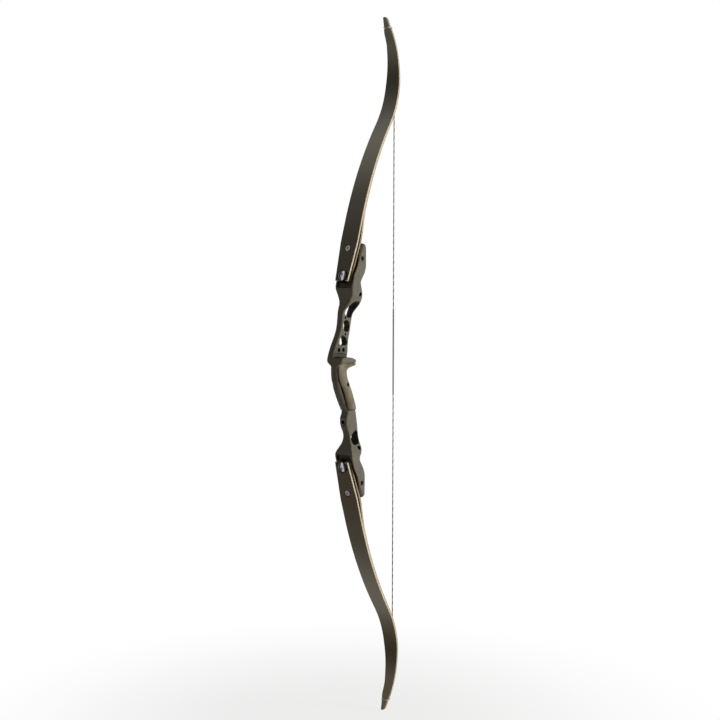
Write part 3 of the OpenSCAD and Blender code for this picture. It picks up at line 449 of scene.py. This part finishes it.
def soften(o, voxel, passes):
    """Rounds every edge of a solid: a fine even skin, then a few smoothing passes."""
    modifier(o, "WELD", "weld", merge_threshold=WELD_DISTANCE)
    modifier(o, "REMESH", "skin", mode="VOXEL", voxel_size=voxel, use_smooth_shade=True)
    modifier(o, "SMOOTH", "soften", factor=0.5, iterations=passes)


def crisp(o, bevel):
    """Smooth curved faces with sharp edges, or lightly broken ones where bevel isn't 0."""
    for p in o.data.polygons:
        p.use_smooth = True
    modifier(o, "WELD", "weld", merge_threshold=WELD_DISTANCE)
    if bevel:
        modifier(o, "BEVEL", "edge", width=bevel, segments=2, limit_method="ANGLE",
                 angle_limit=EDGE_ANGLE, harden_normals=False)
    modifier(o, "EDGE_SPLIT", "split", split_angle=EDGE_ANGLE)


soften(NODES["riser"], voxel=0.0008, passes=5)
soften(NODES["wooden_grip"], voxel=0.0007, passes=9)
for name, o in NODES.items():
    if name in ("riser", "wooden_grip", "bowstring") or name.endswith("string_loop"):
        continue
    small = name.endswith(("bolt", "washer", "screw", "screws", "bushing"))
    crisp(o, SMALL_BEVEL if small else 0.0)


# New pieces
def new_mesh(name, verts, faces, mat_name, body, sign):
    """A piece from points in mm, mirrored for the lower limb, riding on a body if there is one."""
    if sign < 0:
        verts = [(x, y, -z) for x, y, z in verts]
        faces = [tuple(reversed(f)) for f in faces]
    mesh = bpy.data.meshes.new(name)
    mesh.from_pydata([(x * MM, y * MM, z * MM) for x, y, z in verts], [], faces)
    mesh.update()
    for p in mesh.polygons:
        p.use_smooth = True
    mesh.materials.append(MATERIALS[mat_name])
    o = bpy.data.objects.new(name, mesh)
    SCENE.collection.objects.link(o)
    if body:
        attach(o, body)
    return o


def swept(points, radius, sides):
    """Vertices and faces of a closed tube along points, its rings carried on without twist."""
    pts = [Vector(p) for p in points]
    n = len(pts)
    tangents = [(pts[min(i + 1, n - 1)] - pts[max(i - 1, 0)]).normalized() for i in range(n)]
    u = Vector((1, 0, 0))
    verts, faces = [], []
    for p, t in zip(pts, tangents):
        u = (u - t * u.dot(t)).normalized()
        v = t.cross(u)
        for k in range(sides):
            a = 2 * math.pi * k / sides
            verts.append(tuple(p + radius * (math.cos(a) * u + math.sin(a) * v)))
    for i in range(n - 1):
        for k in range(sides):
            a, b = i * sides + k, i * sides + (k + 1) % sides
            faces.append((a, b, b + sides, a + sides))
    faces.append(tuple(range(sides - 1, -1, -1)))
    faces.append(tuple(range((n - 1) * sides, n * sides)))
    return verts, faces


# The twisted string, one half for each limb
STRING_N = LIMB_T + STRING_OFF
STRING_CURVE_R = RECURVE_R + STRING_N
STRING_Y, MID_Z = limb_at(S_MID, STRING_N)
HALF_STRING = MID_Z + (JUNCTION_S - S_MID) * STRING_CURVE_R / RECURVE_R
TWIST, STEPS_A_TURN = 14.6, 14
STRAND_R, STRAND_AT, STRAND_SIDES = 0.56, 0.64, 7
STRANDS, LIGHT_STRANDS = 4, 2


def string_place(d):
    """Point and in-plane normal at distance d mm above the middle of the string."""
    if d < MID_Z:
        return Vector((0, STRING_Y, d)), Vector((0, 1, 0))
    s = S_MID + (d - MID_Z) * RECURVE_R / STRING_CURVE_R
    point = Vector((0, *limb_at(s, STRING_N)))
    return point, (Vector((0, *limb_at(s, STRING_N + 1))) - point).normalized()


for side, sign in SIDES:
    for strand in range(STRANDS):
        steps = int(HALF_STRING / TWIST * STEPS_A_TURN)
        path = []
        for i in range(steps + 1):
            d = HALF_STRING * i / steps
            p, normal = string_place(d)
            a = 2 * math.pi * (sign * d / TWIST + strand / STRANDS)
            path.append(p + STRAND_AT * (math.cos(a) * Vector((1, 0, 0)) + math.sin(a) * normal))
        verts, faces = swept(path, STRAND_R, STRAND_SIDES)
        kind = "string_strands" if strand < LIGHT_STRANDS else "string_dark"
        o = new_mesh(f"{side}_string_strand_{strand + 1}", verts, faces, kind, None, sign)
        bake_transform(o)
        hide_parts("bowstring")


# The served string loops, along points (x, s, n) from the string round the nocks
LOOP_R, LOOP_GAP, LOOP_STEPS, LOOP_SIDES = 1.3, 0.3, 10, 14
LOOP_N = LIMB_T + LOOP_R + LOOP_GAP
LOOP_TOP = -OVERLAY_T - LOOP_R - LOOP_GAP
LOOP_X = NOCK_X - NOCK_R - NOCK_INSET + LOOP_R + LOOP_GAP
HALF_LOOP = [(LOOP_R + 0.15, JUNCTION_S + 0.4, LOOP_N), (LOOP_R + 1.6, JUNCTION_S + 10, LOOP_N),
             (LOOP_X - 1.4, NOCK_S - 8, LOOP_N), (LOOP_X + 0.6, NOCK_S - 2.6, LOOP_N - 0.2),
             (LOOP_X + 0.2, NOCK_S - 0.6, 1.4), (LOOP_X, NOCK_S + 0.9, LOOP_TOP + 2.6),
             (LOOP_X - 0.4, NOCK_S + 1.7, LOOP_TOP + 0.3),
             (LOOP_X - 2.3, NOCK_S + 1.9, LOOP_TOP - 0.1)]
LOOP_PATH = (HALF_LOOP + [(0, NOCK_S + 1.9, LOOP_TOP - 0.1)]
             + [(-x, s, n) for x, s, n in reversed(HALF_LOOP)])


def between(a, b, c, d, t):
    """The point at t from b to c on a smooth curve through a, b, c and d."""
    return 0.5 * (2 * b + (c - a) * t + (2 * a - 5 * b + 4 * c - d) * t * t
                  + (3 * b - a - 3 * c + d) * t * t * t)


def loop_points():
    pts = [Vector(p) for p in LOOP_PATH]
    last = len(pts) - 1
    curve = [between(pts[max(i - 1, 0)], pts[i], pts[i + 1], pts[min(i + 2, last)], j / LOOP_STEPS)
             for i in range(last) for j in range(LOOP_STEPS)]
    return [(x, *limb_at(s, n)) for x, s, n in curve + [pts[-1]]]


for side, sign in SIDES:
    verts, faces = swept(loop_points(), LOOP_R, LOOP_SIDES)
    o = new_mesh(f"{side}_loop_serving", verts, faces, "serving_white", f"{side}_limb_body", sign)
    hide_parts(f"{side}_string_loop")


# The detent springs, built at one length; the real ones shorten as the pin goes in
COIL_R, WIRE_R, COIL_TURNS, COIL_KEEP = 2.35, 0.225, 5, 0.5
COIL_FROM, COIL_TO = 9.725, 14.175
COIL_STEPS, WIRE_SIDES = COIL_TURNS * 16, 8
coil = []
for i in range(COIL_STEPS + 1):
    a = 2 * math.pi * COIL_TURNS * i / COIL_STEPS
    n = COIL_FROM + (COIL_TO - COIL_FROM) * i / COIL_STEPS
    coil.append((COIL_R * math.cos(a), *limb_at(FITTING_S + COIL_R * math.sin(a), n)))
for side, sign in SIDES:
    verts, faces = swept(coil, WIRE_R, WIRE_SIDES)
    o = new_mesh(f"{side}_detent_coil", verts, faces, "bright_steel", f"{side}_limb_body", sign)
    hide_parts(f"{side}_detent_spring")
    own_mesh(o)


# Floor, backdrop, light and camera. The floor is white to the camera away from the bow's foot, and
# keeps the bow's shadow near it.
FLOOR_DROP, FLOOR_HALF = 0.002, 30
FLOOR_SHADE = (0.9, 0.9, 0.9, 1.0)
FLOOR_FADE = {"From Min": 0.12, "From Max": 0.90, "To Min": 0.80, "To Max": 1.0}
BACKDROP = {"Color": (1, 1, 1, 1), "Strength": 1.0}
SOFT_LIGHT = {"Color": (1.0, 0.95, 0.84, 1), "Strength": 0.08}


def seen(tree):
    """1 on rays from the camera and on rays that metal or glass sends out, which see white."""
    path = add_node(tree, "ShaderNodeLightPath").outputs
    total = path["Is Camera Ray"]
    for name in ("Is Glossy Ray", "Is Transmission Ray"):
        total = add_node(tree, "ShaderNodeMath", links={0: total, 1: path[name]},
                         operation="MAXIMUM").outputs[0]
    return total


def stage_material():
    mat = bpy.data.materials.new("stage_floor")
    mat.use_nodes = True
    tree = mat.node_tree
    bsdf = tree.nodes["Principled BSDF"]
    bsdf.inputs["Roughness"].default_value = 0.9
    bsdf.inputs["Specular IOR Level"].default_value = 0.0
    bsdf.inputs["Base Color"].default_value = FLOOR_SHADE
    glow = add_node(tree, "ShaderNodeEmission", {"Strength": 1.0})
    place = add_node(tree, "ShaderNodeTexCoord").outputs["Object"]
    flat = add_node(tree, "ShaderNodeVectorMath", {1: (1.0, 1.0, 0.0)}, {0: place},
                    operation="MULTIPLY")
    away = add_node(tree, "ShaderNodeVectorMath", links={0: flat.outputs[0]}, operation="LENGTH")
    fade = add_node(tree, "ShaderNodeMapRange", FLOOR_FADE, {"Value": away.outputs["Value"]},
                    interpolation_type="SMOOTHSTEP")
    share = add_node(tree, "ShaderNodeMath", links={0: seen(tree), 1: fade.outputs["Result"]},
                     operation="MULTIPLY")
    mix = add_node(tree, "ShaderNodeMixShader",
                   links={0: share.outputs[0], 1: bsdf.outputs[0], 2: glow.outputs[0]})
    tree.links.new(mix.outputs[0], tree.nodes["Material Output"].inputs["Surface"])
    return mat


floor_z = CAD_BOX[0][2] - FLOOR_DROP
corners = [(x * FLOOR_HALF, y * FLOOR_HALF, floor_z)
           for x, y in ((-1, -1), (1, -1), (1, 1), (-1, 1))]
mesh = bpy.data.meshes.new("floor")
mesh.from_pydata(corners, [], [(0, 1, 2, 3)])
mesh.materials.append(stage_material())
floor = bpy.data.objects.new("floor", mesh)
SCENE.collection.objects.link(floor)

world = bpy.data.worlds.new("studio")
world.use_nodes = True
SCENE.world = world
tree = world.node_tree
tree.nodes.clear()
white = add_node(tree, "ShaderNodeBackground", BACKDROP)
soft = add_node(tree, "ShaderNodeBackground", SOFT_LIGHT)
mix = add_node(tree, "ShaderNodeMixShader",
               links={0: seen(tree), 1: soft.outputs[0], 2: white.outputs[0]})
add_node(tree, "ShaderNodeOutputWorld", links={"Surface": mix.outputs[0]})


def area(name, at, size, power, colour):
    """A rectangular lamp that points at the grip."""
    data = bpy.data.lights.new(name, "AREA")
    data.shape = "RECTANGLE"
    data.size, data.size_y = size
    data.energy = power
    data.color = colour
    o = bpy.data.objects.new(name, data)
    o.location = at
    o.rotation_mode = "QUATERNION"
    o.rotation_quaternion = (-Vector(at)).to_track_quat("-Z", "Y")
    SCENE.collection.objects.link(o)


area("key", (2.4, 1.25, 0.1), size=(1.2, 2.6), power=60, colour=(1.0, 0.985, 0.95))
area("fill", (-1.4, -2.6, 0.1), size=(1.6, 2.0), power=2.9, colour=(1.0, 0.90, 0.68))

LOOK, ROLL = Vector((-0.61478, 0.78688, -0.05356)), math.radians(0.124)
cam_data = bpy.data.cameras.new("camera")
cam_data.sensor_width = 36.0
cam_data.lens = 61.49
cam_data.clip_end = 200.0
camera = bpy.data.objects.new("camera", cam_data)
camera.location = (1.5528, -1.9358, 0.1567)
camera.rotation_mode = "QUATERNION"
camera.rotation_quaternion = LOOK.to_track_quat("-Z", "Y") @ Quaternion((0, 0, 1), ROLL)
SCENE.collection.objects.link(camera)
SCENE.camera = camera
SCENE.view_settings.view_transform = "Standard"
